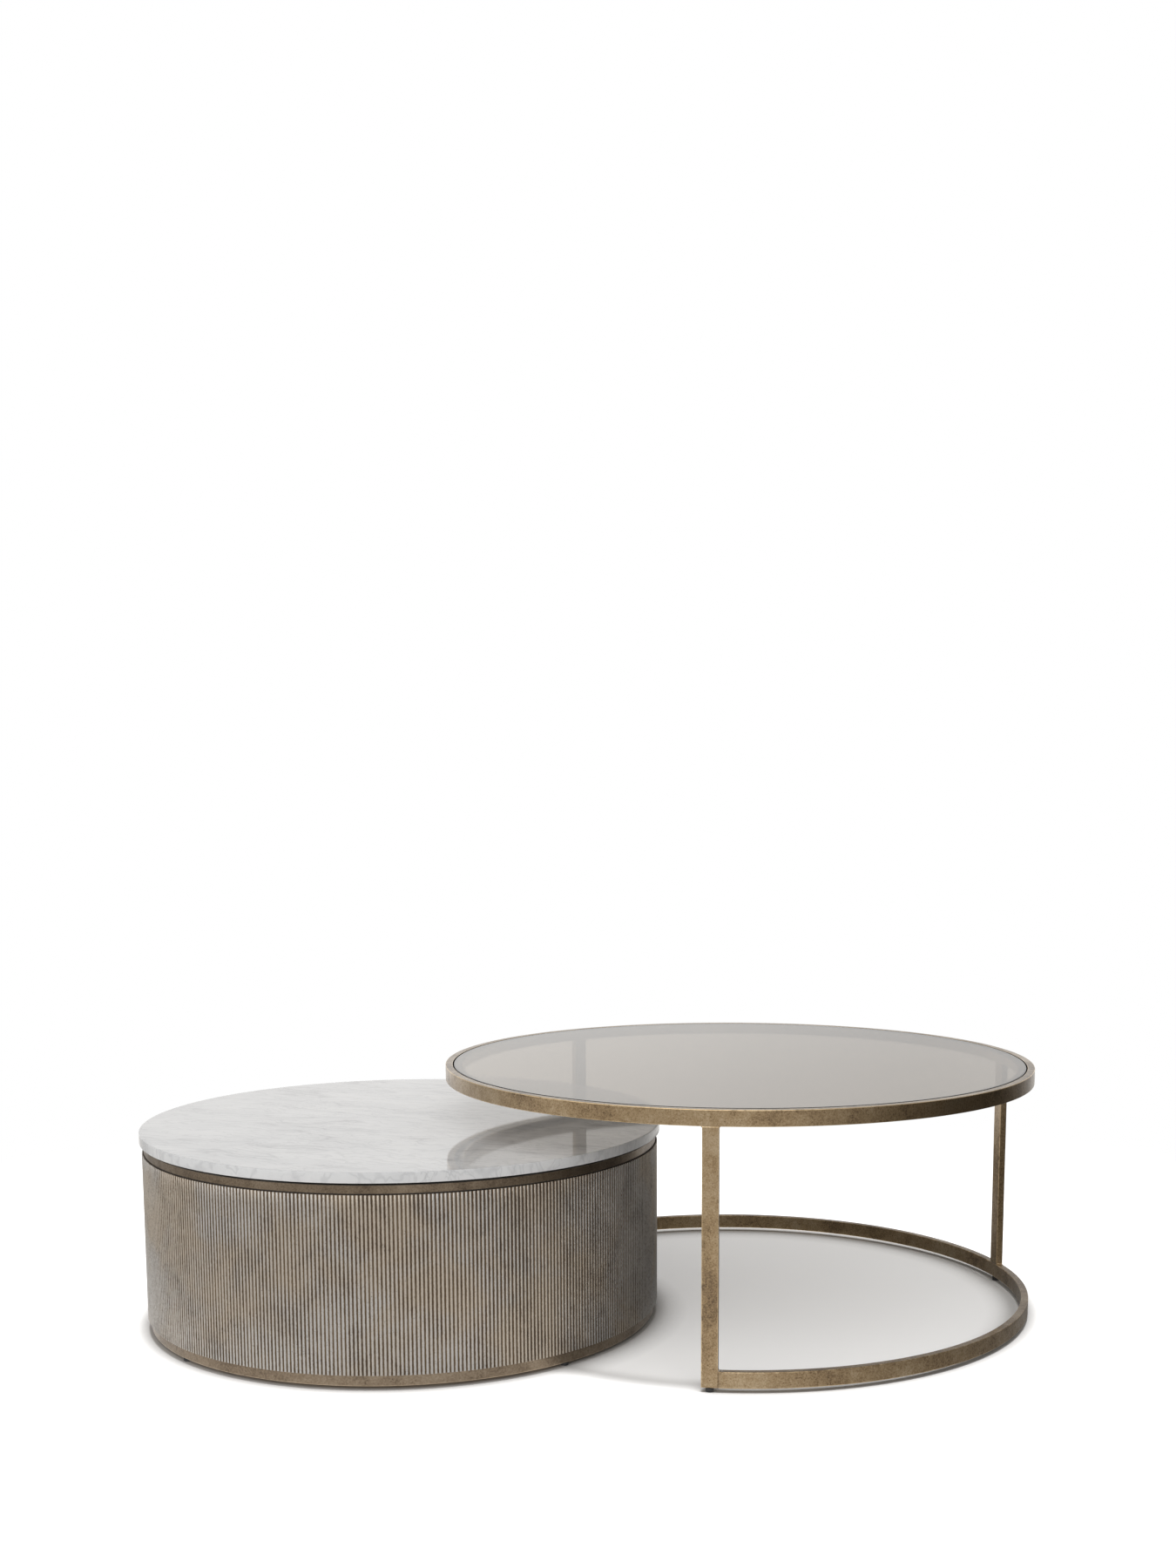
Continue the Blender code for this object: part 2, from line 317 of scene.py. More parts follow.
def marble_material():
    """Honed white marble with thin grey veins that run down through the slab."""
    mat, tree, coords = new_material("white_marble_slab")
    slab = stretched(tree, coords, (1.0, 1.0, 0.62), math.radians(24.0))
    drift = put(tree, "ShaderNodeTexNoise",
                {"Vector": slab, "Scale": 7.0, "Detail": 4.0, "Roughness": 0.6}).outputs[1]
    drift = put(tree, "ShaderNodeVectorMath", {0: drift, 1: (0.075, 0.075, 0.03)},
                operation="MULTIPLY").outputs[0]
    bent = put(tree, "ShaderNodeVectorMath", {0: slab, 1: drift},
               operation="ADD").outputs[0]

    def veins(scale, width, stretch):
        field = noise(tree, stretched(tree, bent, stretch), scale, 3.0, 0.55, 0.3)
        ridge = calc(tree, "ABSOLUTE", calc(tree, "SUBTRACT", field, 0.5))
        return remap(tree, ridge, width, 0.0, smooth=True)

    strong = veins(7.0, 0.022, (0.42, 1.7, 1.0))
    halo = veins(7.0, 0.110, (0.42, 1.7, 1.0))
    thin = veins(22.0, 0.036, (0.45, 1.6, 1.0))
    hair = veins(60.0, 0.040, (0.50, 1.4, 1.0))
    gate = remap(tree, noise(tree, bent, 5.0, 3.0, 0.6), 0.42, 0.62, smooth=True)
    cloud = noise(tree, stretched(tree, bent, (0.7, 1.4, 1.0)), 9.0, 5.0, 0.62)
    cloud = remap(tree, cloud, 0.35, 0.70)

    colour = blend(tree, cloud, (0.815, 0.824, 0.835), (0.71, 0.724, 0.743))
    for vein, where, strength, grey in (
            (halo, gate, 0.22, (0.50, 0.51, 0.53)),
            (hair, gate, 0.34, (0.44, 0.45, 0.47)),
            (thin, 1.0, 0.32, (0.46, 0.47, 0.49)),
            (strong, gate, 0.50, (0.40, 0.41, 0.43))):
        shown = calc(tree, "MULTIPLY", vein, calc(tree, "MULTIPLY", where, strength))
        colour = blend(tree, shown, colour, grey)
    grain = noise(tree, coords, 260.0, 3.0, 0.6)
    roughness = remap(tree, grain, 0.3, 0.7, 0.018, 0.032)
    normal = bump(tree, [(grain, 0.05, 0.0003)])
    shader = put(tree, "ShaderNodeBsdfPrincipled",
                 {"Base Color": colour, "Roughness": roughness, "IOR": 1.50,
                  "Normal": normal})
    finish_material(tree, shader.outputs[0])
    return mat


def plain_material(name, first, second, scale, rough, metallic=0.0):
    """Board, nylon, steel or pad: two tones in a fine grain."""
    mat, tree, coords = new_material(name)
    broad = noise(tree, coords, scale, 5.0, 0.6)
    fine = noise(tree, coords, scale * 9.0, 3.0, 0.65)
    mixed = weighted(tree, [(broad, 0.6), (fine, 0.4)])
    colour = blend(tree, remap(tree, mixed, 0.35, 0.65), first, second)
    roughness = remap(tree, fine, 0.3, 0.7, rough - 0.08, rough + 0.08)
    normal = bump(tree, [(fine, 0.3, 0.0004)])
    shader = put(tree, "ShaderNodeBsdfPrincipled",
                 {"Base Color": colour, "Roughness": roughness,
                  "Metallic": metallic, "Normal": normal})
    finish_material(tree, shader.outputs[0])
    return mat


BRASS = brass_material(
    "aged_brass_bar", (0.125, 0.080, 0.042), (0.40, 0.278, 0.148),
    (0.63, 0.50, 0.33), (0.90, 0.68, 0.40), 0.75)
TRIM = brass_material(
    "aged_brass_trim", (0.14, 0.10, 0.065), (0.32, 0.245, 0.170),
    (0.50, 0.41, 0.31), (0.64, 0.51, 0.36), 0.50)
# Darker copy of the trim brass: painted shade for the smooth band under the marble's
# overhang.
BAND_SHADED_BRASS = brass_material(
    "aged_brass_band_shaded", (0.11, 0.080, 0.055), (0.235, 0.180, 0.125),
    (0.38, 0.305, 0.225), (0.62, 0.49, 0.34), 0.25)
REEDED = reeded_material()
GLASS = glass_material()
MARBLE = marble_material()
BOARD = plain_material("fibre_board", (0.30, 0.20, 0.115), (0.46, 0.33, 0.20),
                       90.0, 0.72)
NYLON = plain_material("black_nylon_foot", (0.012, 0.012, 0.013), (0.030, 0.030, 0.030),
                       300.0, 0.50)
STEEL = plain_material("zinc_stud", (0.42, 0.42, 0.41), (0.60, 0.60, 0.58),
                       240.0, 0.34, metallic=1.0)
CLEAR = plain_material("clear_bumper", (0.55, 0.56, 0.55), (0.68, 0.69, 0.68),
                       200.0, 0.30)


# ------------------------------------------------------------------- geometry
def quarter(steps):
    """Angles of a quarter turn, in even steps."""
    return [math.radians(90.0 * i / steps) for i in range(steps + 1)]


def rounded_section(width, height, radius):
    """Rounded rectangle about (0, 0) as (points, edge): edge is 1 on the arrises."""
    points, edge = [], []
    reach = min(WEAR_REACH, 0.45 * (min(width, height) - 2.0 * radius))
    for sx, sy, start in ((1, 1, 0), (-1, 1, 90), (-1, -1, 180), (1, -1, 270)):
        cx, cy = sx * (width / 2.0 - radius), sy * (height / 2.0 - radius)
        arc = [math.radians(start) + a for a in quarter(ARRIS_STEPS)]
        first, last = arc[0], arc[-1]
        before = (cx + radius * math.cos(first) + reach * math.sin(first),
                  cy + radius * math.sin(first) - reach * math.cos(first))
        after = (cx + radius * math.cos(last) - reach * math.sin(last),
                 cy + radius * math.sin(last) + reach * math.cos(last))
        points += [before, *[(cx + radius * math.cos(a), cy + radius * math.sin(a))
                             for a in arc], after]
        edge += [0.0, *[1.0] * (ARRIS_STEPS + 1), 0.0]
    return np.array(points), np.array(edge)


def grid_faces(rows, columns, close_rows, close_columns):
    """Four-sided faces of a grid of points, with each face's row and column."""
    i = np.arange(rows if close_rows else rows - 1)
    j = np.arange(columns if close_columns else columns - 1)
    i, j = np.meshgrid(i, j, indexing="ij")
    i2, j2 = (i + 1) % rows, (j + 1) % columns
    corners = [i * columns + j, i2 * columns + j, i2 * columns + j2, i * columns + j2]
    return np.stack(corners, -1).reshape(-1, 4), i.ravel(), j.ravel()


def make_piece(name, points, mat, body, stands_for,
               close_rows=True, close_columns=True, caps=False, marks=None):
    """Piece from a grid of points: rows run along it, columns round its section.

    marks are values on the points that the materials read, such as edge or grime."""
    rows, columns = points.shape[:2]
    faces, row, column = grid_faces(rows, columns, close_rows, close_columns)
    faces = faces.tolist()
    if caps:
        faces.append(list(range(columns)))
        faces.append(list(range((rows - 1) * columns, rows * columns)))
    mesh = bpy.data.meshes.new(name)
    mesh.from_pydata(points.reshape(-1, 3).tolist(), [], faces)

    along = np.linalg.norm(np.roll(points, -1, 0) - points, axis=2).mean(1)
    across = np.linalg.norm(np.roll(points, -1, 1) - points, axis=2).mean(0)
    u = np.concatenate([[0.0], np.cumsum(along)])
    v = np.concatenate([[0.0], np.cumsum(across)])
    layer = mesh.uv_layers.new(name="UVMap")
    flat = np.zeros((len(mesh.loops), 2), np.float32)
    quads = np.stack([
        np.stack([u[row], v[column]], -1), np.stack([u[row + 1], v[column]], -1),
        np.stack([u[row + 1], v[column + 1]], -1), np.stack([u[row], v[column + 1]], -1),
    ], 1).reshape(-1, 2)
    flat[:len(quads)] = quads
    layer.data.foreach_set("uv", flat.ravel())
    for key, values in (marks or {}).items():
        made = mesh.attributes.new(key, "FLOAT", "POINT")
        made.data.foreach_set("value", np.broadcast_to(
            values, (rows, columns)).astype(np.float32).ravel())

    bm = bmesh.new()
    bm.from_mesh(mesh)
    bmesh.ops.remove_doubles(bm, verts=bm.verts, dist=1e-6)
    bmesh.ops.recalc_face_normals(bm, faces=bm.faces)
    for face in bm.faces:
        face.smooth = len(face.verts) <= 4
    bm.to_mesh(mesh)
    bm.free()
    obj = bpy.data.objects.new(name, mesh)
    bpy.context.scene.collection.objects.link(obj)
    mesh.materials.append(mat)
    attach(obj, body)
    if stands_for:
        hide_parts(*stands_for)
    return obj


def around(centre, angles, section):
    """Grid of points: a section of (radius, z) carried round a centre."""
    angles = np.asarray(angles)[:, None]
    radius, z = section[None, :, 0], section[None, :, 1]
    return np.stack([
        centre.x + radius * np.cos(angles), centre.y + radius * np.sin(angles),
        z + 0.0 * angles], -1)


def even_angles(count=STATIONS):
    return np.linspace(0.0, TAU, count, endpoint=False)


def rolled_bar(name, centre, outer, width, bottom, top, mat, body, stands_for,
               angles=None, hide_edge=None, closed=True, levels=(), painted_shade=None):
    """Flat bar rolled round a centre, its arrises rounded and marked for wear.

    levels adds rows on the outer side; painted_shade says where shade is painted black."""
    if angles is None:
        angles = even_angles()
    section, edge = rounded_section(width, top - bottom, ARRIS)
    section = section + np.array([outer - width / 2.0, (top + bottom) / 2.0])
    if levels:
        section = np.concatenate([section, [(outer, z) for z in sorted(levels)]])
        edge = np.concatenate([edge, np.zeros(len(levels))])
    marks = {"edge": np.broadcast_to(edge, (len(angles), len(edge))).copy()}
    if hide_edge is not None:
        marks["edge"] *= hide_edge(angles[:, None], section[None])
    if painted_shade is not None:
        marks["painted_shade"] = painted_shade(section)[None]
    return make_piece(name, around(centre, angles, section), mat, body, stands_for,
                      close_rows=closed, caps=not closed, marks=marks)


def turned_disc(name, centre, radius, bottom, top, arris, mat, body, stands_for):
    """Solid disc with rounded arrises and rings of support across its faces."""
    reach = 2.0 * arris
    upper = [(radius - arris + arris * math.sin(a), top - arris + arris * math.cos(a))
             for a in quarter(4)]
    lower = [(r, bottom + top - z) for r, z in reversed(upper)]
    inner = [0.0, 0.30, 0.60, 0.85, 0.97]
    profile = [(radius * k, top) for k in inner] + [(radius - arris - reach, top)]
    profile += upper + [(radius, (top + bottom) / 2.0)] + lower
    profile += [(radius - arris - reach, bottom)]
    profile += [(radius * k, bottom) for k in reversed(inner)]
    profile = np.array(profile)
    # rim is 1 on the rounded edge; the glass paints shade there.
    rim = (profile[:, 0] > radius - 1.01 * arris).astype(float)
    return make_piece(name, around(centre, even_angles(), profile), mat, body,
                      stands_for, close_columns=False, marks={"rim": rim})


def prism(name, outline, origin, across, up, along, length, mat, body):
    """Straight prism: an outline in the across/up plane, carried along."""
    flat = np.array([origin + across * x + up * y for x, y in outline])
    half = np.array(along * (length / 2.0))
    points = np.stack([flat - half, flat + half])
    obj = make_piece(name, points, mat, body, (), close_rows=False, caps=True)
    for polygon in obj.data.polygons:
        polygon.use_smooth = False
    return obj


def fillet_outline(radius, steps=7):
    """Concave corner fillet: its corner at (0, 0), its arms along +x and +y."""
    return [(0.0, 0.0)] + [(radius - radius * math.sin(a), radius - radius * math.cos(a))
                           for a in quarter(steps)]


# ---------------------------------------------------------------- large table
def radial(angle):
    return Vector((math.cos(angle), math.sin(angle), 0.0))


def tangent(angle):
    return Vector((-math.sin(angle), math.cos(angle), 0.0))


def joint_angles(start, end, closed, centres):
    """Even stations, with extra ones at each side of every joint."""
    count = round(STATIONS * (end - start) / TAU)
    angles = set(np.linspace(start, end, count, endpoint=not closed).tolist())
    for middle in centres:
        for step in (0.0110, 0.0124, 0.0137, 0.0165):
            for side in (-1.0, 1.0):
                extra = middle + side * step / FRAME_RADIUS
                if start < extra < end:
                    angles.add(extra)
    return np.array(sorted(angles))


def near_joint(angles, centres):
    """1 away from the joints, 0 within a leg's width of one."""
    clear = np.ones_like(angles)
    for middle in centres:
        away = np.abs((angles - middle + math.pi) % TAU - math.pi) * FRAME_RADIUS
        away = away - LEG_WIDTH / 2.0
        clear = np.minimum(clear, np.clip(away / (1.5 * ARRIS), 0.0, 1.0))
    return clear


def build_hoop():
    legs = [a % TAU for a in LEG_ANGLES.values()]
    level = (HOOP_BOTTOM + FRAME_TOP) / 2.0
    inner = FRAME_RADIUS - BAR_WIDTH
    # Painted shade: the hoop's inner side beside the glass is black, for the dark gap
    # line.
    rolled_bar("hoop_bar", LARGE, FRAME_RADIUS, BAR_WIDTH, HOOP_BOTTOM, FRAME_TOP,
               BRASS, "frame", ["top_hoop"],
               angles=joint_angles(0.0, TAU, True, legs),
               hide_edge=lambda a, s: np.where(
                   s[..., 1] < level, near_joint(a, legs), 1.0),
               painted_shade=lambda s: ((s[:, 0] < inner + ARRIS / 4.0)
                                * (s[:, 1] > level - INNER_SHADE)))
    low, high = heights("glass_ledge")
    outer = inner - FIT_GAP
    # Painted shade: the ledge is black next to the hoop, in the gap by the glass.
    rolled_bar("ledge_flat", LARGE, outer, LEDGE_WIDTH, low, high,
               BRASS, "frame", ["glass_ledge"],
               painted_shade=lambda s: s[:, 0] > outer - LEDGE_SHADE)


def build_leg(name):
    """Flat-bar leg, with ground fillets where it meets the hoop and the base."""
    angle = LEG_ANGLES[name]
    stands = name == "rear_right"
    bottom = BASE_TOP if stands else BASE_BOTTOM
    out, side, up = radial(angle), tangent(angle), Vector((0.0, 0.0, 1.0))
    middle = Vector((LARGE.x, LARGE.y, 0.0)) + out * BAR_MIDDLE

    # Each level is a height and how far the section is drawn in there.
    if stands:
        levels = [(bottom - FIT_GAP, 0.0)]
    else:
        levels = [(bottom + ARRIS * (1.0 - math.sin(a)), ARRIS * (1.0 - math.cos(a)))
                  for a in reversed(quarter(ARRIS_STEPS))]
    levels += [(z, 0.0) for z in np.linspace(bottom + 2.0 * ARRIS,
                                             HOOP_BOTTOM - 2.0 * ARRIS, 40)]
    levels.append((HOOP_BOTTOM + FIT_GAP / 2.0, 0.0))

    rows, marks = [], []
    inward = {"front": 1.0, "rear_left": -1.0}.get(name, 0.0)
    for z, inset in levels:
        section, edge = rounded_section(
            BAR_WIDTH - 2.0 * inset, LEG_WIDTH - 2.0 * inset,
            max(ARRIS - inset, 0.00005))
        rows.append([middle + out * x + side * y + up * z for x, y in section])
        if z < BASE_TOP - 0.0005:
            edge[section[:, 1] * inward > 0.0] = 0.0
            if inset:
                edge[:] = np.maximum(edge, 0.8)
        marks.append(edge)
    make_piece(f"leg_bar_{name}", np.array(rows), BRASS, "frame", [f"leg_{name}"],
               close_rows=False, caps=True, marks={"edge": np.array(marks)})

    depth = BAR_WIDTH - 1.6 * ARRIS
    half = LEG_WIDTH / 2.0
    outline = fillet_outline(WELD)
    for sign, tag in ((-1.0, "a"), (1.0, "b")):
        beside = middle + side * (sign * (half - OVERLAP))
        corner = beside + up * (HOOP_BOTTOM + OVERLAP)
        prism(f"weld_top_{name}_{tag}", outline, corner, side * sign, -up, out, depth,
              BRASS, "frame")
        if stands or sign == inward:
            corner = beside + up * (BASE_TOP - OVERLAP)
            prism(f"weld_base_{name}_{tag}", outline, corner, side * sign, up, out,
                  depth, BRASS, "frame")

    # Ground-flush strips over the arrises that the welds have filled.
    arm = 1.2 * ARRIS
    strip = [(0.0, 0.0), (arm, 0.0), (0.0, arm)]
    width = LEG_WIDTH - 2.0 * ARRIS
    for sign, tag in ((1.0, "out"), (-1.0, "in")):
        face = middle + out * (sign * (BAR_WIDTH / 2.0 - 0.4 * OVERLAP))
        prism(f"seam_top_{name}_{tag}", strip, face + up * HOOP_BOTTOM, -out * sign, up,
              side, width, BRASS, "frame")
        if stands:
            prism(f"seam_base_{name}_{tag}", strip, face + up * BASE_TOP, -out * sign,
                  -up, side, width, BRASS, "frame")


def build_base():
    """Rolled bar on edge, open on the drum's side, its ends butting two legs."""
    butt = math.asin((LEG_WIDTH / 2.0 - 4.0 * OVERLAP) / (FRAME_RADIUS - BAR_WIDTH))
    end = LEG_STEP - butt
    angles = joint_angles(-end, end, False, [0.0])
    upper = (BASE_BOTTOM + BASE_TOP) / 2.0
    # Painted shade on the base arc's top face, dimming its reflection.
    rolled_bar("base_bar", LARGE, FRAME_RADIUS, BAR_WIDTH, BASE_BOTTOM, BASE_TOP,
               BRASS, "frame", ["base_arc"],
               angles=angles + FRAME_TURN, closed=False,
               hide_edge=lambda a, s: np.where(
                   s[..., 1] > upper, 0.6 * near_joint(a, [FRAME_TURN]), 1.0),
               painted_shade=lambda s: BASE_TOP_SHADE * (s[:, 1] > BASE_TOP - ARRIS / 4.0))


def build_foot(name, body, node):
    """Black nylon foot on a threaded steel stud."""
    centre = node_middle(node)
    low, top = heights(node)
    shoulder = top - (STUD_LENGTH + FIT_GAP)
    soft = FOOT_ARRIS
    profile = [(0.0, low), (FOOT_RADIUS - 3.0 * soft, low)]
    profile += [(FOOT_RADIUS - soft + soft * math.sin(a), low + soft - soft * math.cos(a))
                for a in quarter(3)]
    profile += [(FOOT_RADIUS - soft + soft * math.sin(a),
                 shoulder - soft + soft * math.cos(a)) for a in reversed(quarter(3))]
    profile += [(STUD_RADIUS + 0.001, shoulder), (0.0, shoulder)]
    make_piece(f"foot_pad_{name}", around(centre, even_angles(40), np.array(profile)),
               NYLON, body, [node], close_columns=False)

    thread = [(0.0, shoulder - STUD_INSET), (STUD_RADIUS, shoulder - STUD_INSET)]
    turns = int((top - shoulder) / THREAD_PITCH) - 1
    for i in range(turns):
        z = shoulder + THREAD_PITCH * i
        thread += [(STUD_RADIUS, z + 0.30 * THREAD_PITCH),
                   (STUD_RADIUS - THREAD_DEPTH, z + 0.65 * THREAD_PITCH),
                   (STUD_RADIUS, z + THREAD_PITCH)]
    thread += [(STUD_RADIUS - THREAD_DEPTH, top - STUD_INSET), (0.0, top - STUD_INSET)]
    make_piece(f"foot_stud_{name}", around(centre, even_angles(SMALL_STATIONS),
                                           np.array(thread)),
               STEEL, body, (), close_columns=False)


def bore_for(node, piece_name):
    """Cuts the blind hole that a foot's stud turns up into."""
    piece = bpy.data.objects[piece_name]
    centre = node_middle(node)
    bottom = min(corner[2] for corner in piece.bound_box)
    bm = bmesh.new()
    bmesh.ops.create_cone(bm, cap_ends=True, segments=SMALL_STATIONS,
                          radius1=BORE_RADIUS, radius2=BORE_RADIUS,
                          depth=2.0 * BORE_DEPTH)
    bmesh.ops.translate(bm, verts=bm.verts, vec=(centre.x, centre.y, bottom))
    mesh = bpy.data.meshes.new("bore")
    bm.to_mesh(mesh)
    bm.free()
    cutter = bpy.data.objects.new("bore", mesh)
    bpy.context.scene.collection.objects.link(cutter)
    cut = piece.modifiers.new("bore", "BOOLEAN")
    cut.operation = "DIFFERENCE"
    cut.solver = "EXACT"
    cut.object = cutter
    ready = bpy.context.evaluated_depsgraph_get()
    piece_mesh = bpy.data.meshes.new_from_object(piece.evaluated_get(ready))
    piece.modifiers.clear()
    piece.data = piece_mesh
    bpy.data.objects.remove(cutter)


def build_glass():
    low, high = heights("glass_top")
    turned_disc("glass_disc", LARGE, GLASS_RADIUS, low, high, GLASS_ARRIS, GLASS,
                "glass", ["glass_top"])


# ----------------------------------------------------------------- small table
def build_panel():
    """Reeded sheet with half-round ribs; its crest mark is 1 along each crest."""
    low, high = heights("reeded_panel")
    inner = PANEL_RADIUS - PANEL_THICKNESS
    share = np.arange(RIB_STEPS) / RIB_STEPS - 0.5
    crest = np.clip(1.0 - (np.abs(share) / 0.36) ** 2.2, 0.0, 1.0) ** 0.6
    crest_all = np.tile(crest, RIBS)
    turn = (np.repeat(np.arange(RIBS), RIB_STEPS) + np.tile(share, RIBS) + RIB_PHASE)
    angles = turn * TAU / RIBS
    radius = PANEL_RADIUS - RIB_DEPTH * (1.0 - crest_all)

    def ring(r, z):
        return np.stack([DRUM.x + r * np.cos(angles), DRUM.y + r * np.sin(angles),
                         np.full_like(r, z)], -1)

    soft, chamfer = 0.0005, 0.0012
    outer = [(chamfer, high), (soft * 0.3, high - soft * 0.3), (0.0, high - soft)]
    outer += [(0.0, z) for z in np.linspace(high - 0.02, low + 0.02, 6)]
    outer += [(0.0, low + soft), (soft * 0.3, low + soft * 0.3), (chamfer, low)]
    rows = [ring(np.maximum(radius - inset, inner + 0.0003), z) for inset, z in outer]
    rows += [ring(np.full_like(radius, inner), z) for z in (low, high)]
    points = np.stack(rows, 1)
    marks = np.repeat(crest_all[:, None], len(rows), 1)
    marks[:, -2:] = 0.0
    make_piece("panel_reeding", points, REEDED, "drum", ["reeded_panel"],
               marks={"crest": marks})


def build_drum():
    low, high = heights("marble_top")
    turned_disc("marble_slab", DRUM, MARBLE_RADIUS, low, high, MARBLE_ARRIS, MARBLE,
                "marble", ["marble_top"])

    low, high = heights("drum_top_band")
    crease = heights("reeded_panel")[1]

    def band_painted_shade(s):
        """Painted shade: black in the crease, under the marble, and all over the hidden
        sides.
        """
        lines = np.maximum(crease + CREASE_SHADE - s[:, 1],
                           s[:, 1] - high + UNDERCUT_SHADE)
        return np.where(s[:, 0] < BAND_RADIUS - 2.0 * ARRIS, s[:, 1] > low + 0.004,
                        np.clip(lines / SHADE_FADE, 0.0, 1.0))

    rolled_bar("band_strip", DRUM, BAND_RADIUS, BAND_WIDTH, low, high, BAND_SHADED_BRASS, "drum",
               ["drum_top_band"],
               levels=[crease, crease + 0.0014, crease + CREASE_SHADE], painted_shade=band_painted_shade)
    low, high = heights("drum_plinth")
    rolled_bar("plinth_strip", DRUM, PLINTH_RADIUS, BAR_WIDTH, low, high, TRIM, "drum",
               ["drum_plinth"])
    build_panel()


build_hoop()
for leg in LEG_ANGLES:
    build_leg(leg)
    build_foot(leg, f"foot_{leg}", f"glide_{leg}")
build_base()
build_glass()
build_drum()
bore_for("glide_front", "leg_bar_front")
bore_for("glide_rear_left", "leg_bar_rear_left")
bore_for("glide_rear_right", "base_bar")
for number in range(1, 5):
    build_foot(f"drum_{number}", f"drum_foot_{number}", f"drum_glide_{number}")
    bore_for(f"drum_glide_{number}", "plinth_strip")

# CAD nodes whose shape is right stay as they are, with a better material.
KEPT = {"drum_core": BOARD, "drum_deck": BOARD, "drum_base_board": BOARD}
KEPT.update({f"glass_bumper_{i}": CLEAR for i in range(1, 7)})
KEPT.update({f"marble_pad_{i}": CLEAR for i in range(1, 5)})
for node_name, kept_material in KEPT.items():
    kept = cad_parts[node_name]
    for place in kept.material_slots:
        place.material = kept_material


# --------------------------------------------------------------------- studio
# Light level of the surroundings by compass direction, in degrees from +X.
SURROUNDINGS = (
    (-180.0, 0.50), (-157.0, 0.54), (-138.0, 0.52), (-120.0, 0.44), (-105.0, 0.43),
    (-92.0, 0.54), (-78.0, 0.57), (-65.0, 0.49), (-51.0, 0.31), (-37.0, 0.13),
    (-24.0, 0.04), (-8.0, 0.025), (12.0, 0.025), (24.0, 0.10), (34.0, 0.34),
    (46.0, 0.78), (58.0, 0.95), (70.0, 0.88), (79.0, 0.84), (86.0, 0.94),
    (95.0, 1.04), (127.0, 1.00), (140.0, 0.64), (151.0, 0.42), (166.0, 0.46),
    (180.0, 0.50))
BRIGHTEST = 1.10
OVERHEAD = 0.44           # level of the surroundings above the horizon band
HORIZON_BAND = (0.20, 0.27)           # heights between which one turns to the other
# Soft cards: azimuth and elevation, level, and how near their middle they start and end.
CARDS = (
    (-105.0, 38.0, 1.20, 0.70, 0.95),
    (-163.0, 16.0, 0.65, 0.84, 0.97),
)
SKY_TINT = (1.0, 0.985, 0.965)
FLOOR_TINT = (1.0, 0.975, 0.94)
WHITE = (1.0, 1.0, 1.0)
FLOOR_HALF = 30.0
FRONT_SPOT = Vector((-0.15, -1.0))    # brighter patch of floor, as the metal sees it
BACK_SPOT = Vector((0.15, 0.95))      # darker patch

LAMP_STRENGTH = 3.5
LAMP_SPREAD = 7.5         # degrees
LAMP_LEAN = 1.6           # degrees; shadows fall a little away from the camera

CAMERA_PLACE = (-0.0096, -3.009, 0.8716)
CAMERA_PITCH = -7.795     # degrees
CAMERA_YAW = -2.0         # degrees
CAMERA_LENS = 40.67       # millimetres, on a 36 mm sensor
CAMERA_SHIFT = (-0.0378, 0.1628)


def heading(azimuth, elevation):
    a, e = math.radians(azimuth), math.radians(elevation)
    return (math.cos(a) * math.cos(e), math.sin(a) * math.cos(e), math.sin(e))


def facing(tree, direction, towards):
    return put(tree, "ShaderNodeVectorMath", {0: direction, 1: towards},
               operation="DOT_PRODUCT").outputs["Value"]


def side_light(tree, direction):
    """Brightness of the surroundings by compass direction."""
    parts = put(tree, "ShaderNodeSeparateXYZ", {0: direction}).outputs
    turn = calc(tree, "ARCTAN2", parts[1], parts[0])
    turn = remap(tree, turn, -math.pi, math.pi)
    stops = [((azimuth + 180.0) / 360.0, (level / BRIGHTEST,) * 3)
             for azimuth, level in SURROUNDINGS]
    return calc(tree, "MULTIPLY", ramp(tree, turn, stops), BRIGHTEST)


def seen_through_glass(tree):
    """1 for what the viewer sees through the glass, 0 for everything else."""
    path = put(tree, "ShaderNodeLightPath").outputs
    bounces = calc(tree, "ADD", path["Diffuse Depth"], path["Glossy Depth"])
    return calc(tree, "MULTIPLY", path["Is Transmission Ray"],
                calc(tree, "LESS_THAN", bounces, 0.5))


def build_world():
    world = bpy.data.worlds.new("studio")
    bpy.context.scene.world = world
    world.use_nodes = True
    tree = world.node_tree
    tree.nodes.clear()
    direction = put(tree, "ShaderNodeTexCoord").outputs["Generated"]
    height = put(tree, "ShaderNodeSeparateXYZ", {0: direction}).outputs[2]
    lifted = remap(tree, height, *HORIZON_BAND, smooth=True)
    level = mix_value(tree, lifted, side_light(tree, direction), OVERHEAD)
    for azimuth, elevation, brightness, start, end in CARDS:
        near = facing(tree, direction, heading(azimuth, elevation))
        card = remap(tree, near, start, end, 0.0, brightness, smooth=True)
        level = calc(tree, "ADD", level, card)
    seen = calc(tree, "MAXIMUM", seen_through_glass(tree),
                put(tree, "ShaderNodeLightPath").outputs["Is Camera Ray"])
    white = put(tree, "ShaderNodeBackground", {0: WHITE, 1: 1.0}).outputs[0]
    soft = put(tree, "ShaderNodeBackground", {0: SKY_TINT, 1: level}).outputs[0]
    both = put(tree, "ShaderNodeMixShader", {0: seen, 1: soft, 2: white}).outputs[0]
    put(tree, "ShaderNodeOutputWorld", {"Surface": both})


